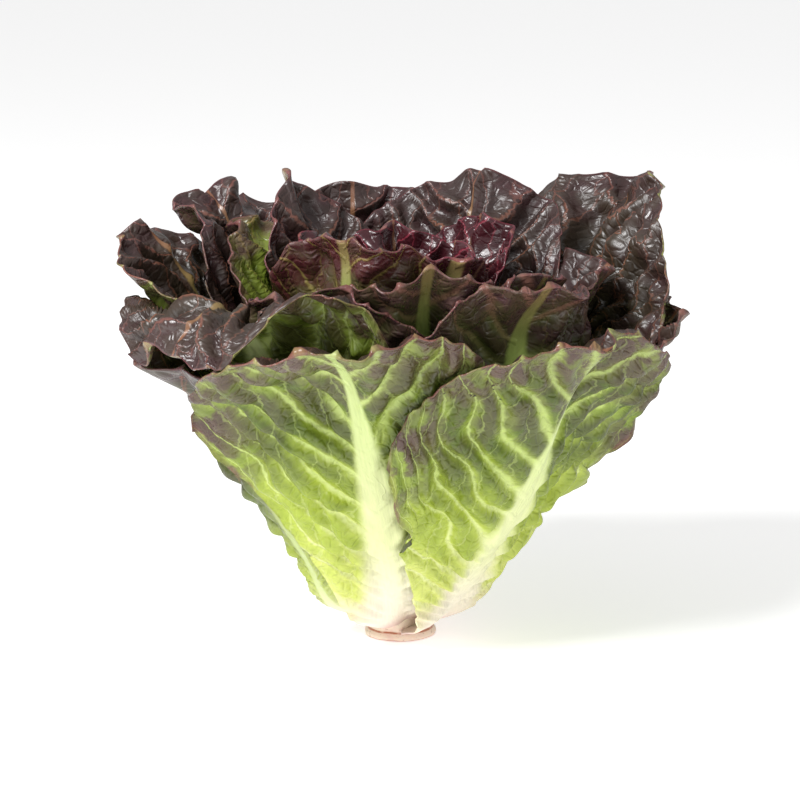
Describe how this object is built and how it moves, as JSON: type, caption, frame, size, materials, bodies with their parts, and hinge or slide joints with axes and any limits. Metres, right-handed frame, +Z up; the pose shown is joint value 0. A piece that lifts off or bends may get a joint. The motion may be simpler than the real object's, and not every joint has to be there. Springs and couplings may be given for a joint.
{
  "type": "red cos lettuce head",
  "caption": "Small open-hearted head of red cos lettuce: broad crinkled leaves, green to dark red, opening like a bowl from a narrow cut stem it stands on.",
  "frame": {"origin": "middle of the stem's cut face, which the head stands on", "axes": "+Z up through the heart; -Y is the front, where two broad outer leaves show their backs; +X is to the right of the front"},
  "size_m": [0.2258, 0.2191, 0.179],
  "materials": {
    "stem": "matte, moist, browned at the cut edge",
    "outer_leaf": "satin, pale green back with raised pale veins, dark red-brown inner face",
    "middle_leaf": "glossy, blistered, dark maroon over green",
    "heart_leaf": "glossy, wine red"
  },
  "bodies": {
    "root": {"stem": "stem", "outer_leaf_01": "outer_leaf", "outer_leaf_02": "outer_leaf", "outer_leaf_03": "outer_leaf", "outer_leaf_04": "outer_leaf", "outer_leaf_05": "outer_leaf", "outer_leaf_06": "outer_leaf", "outer_leaf_07": "outer_leaf", "outer_leaf_08": "outer_leaf", "middle_leaf_01": "middle_leaf", "middle_leaf_02": "middle_leaf", "middle_leaf_03": "middle_leaf", "middle_leaf_04": "middle_leaf", "middle_leaf_05": "middle_leaf", "middle_leaf_06": "middle_leaf", "middle_leaf_07": "middle_leaf", "middle_leaf_08": "middle_leaf", "middle_leaf_09": "middle_leaf", "middle_leaf_10": "middle_leaf", "heart_leaf_01": "heart_leaf", "heart_leaf_02": "heart_leaf", "heart_leaf_03": "heart_leaf", "heart_leaf_04": "heart_leaf", "heart_leaf_05": "heart_leaf", "heart_leaf_06": "heart_leaf", "heart_leaf_07": "heart_leaf", "heart_leaf_08": "heart_leaf"}
  },
  "joints": []
}
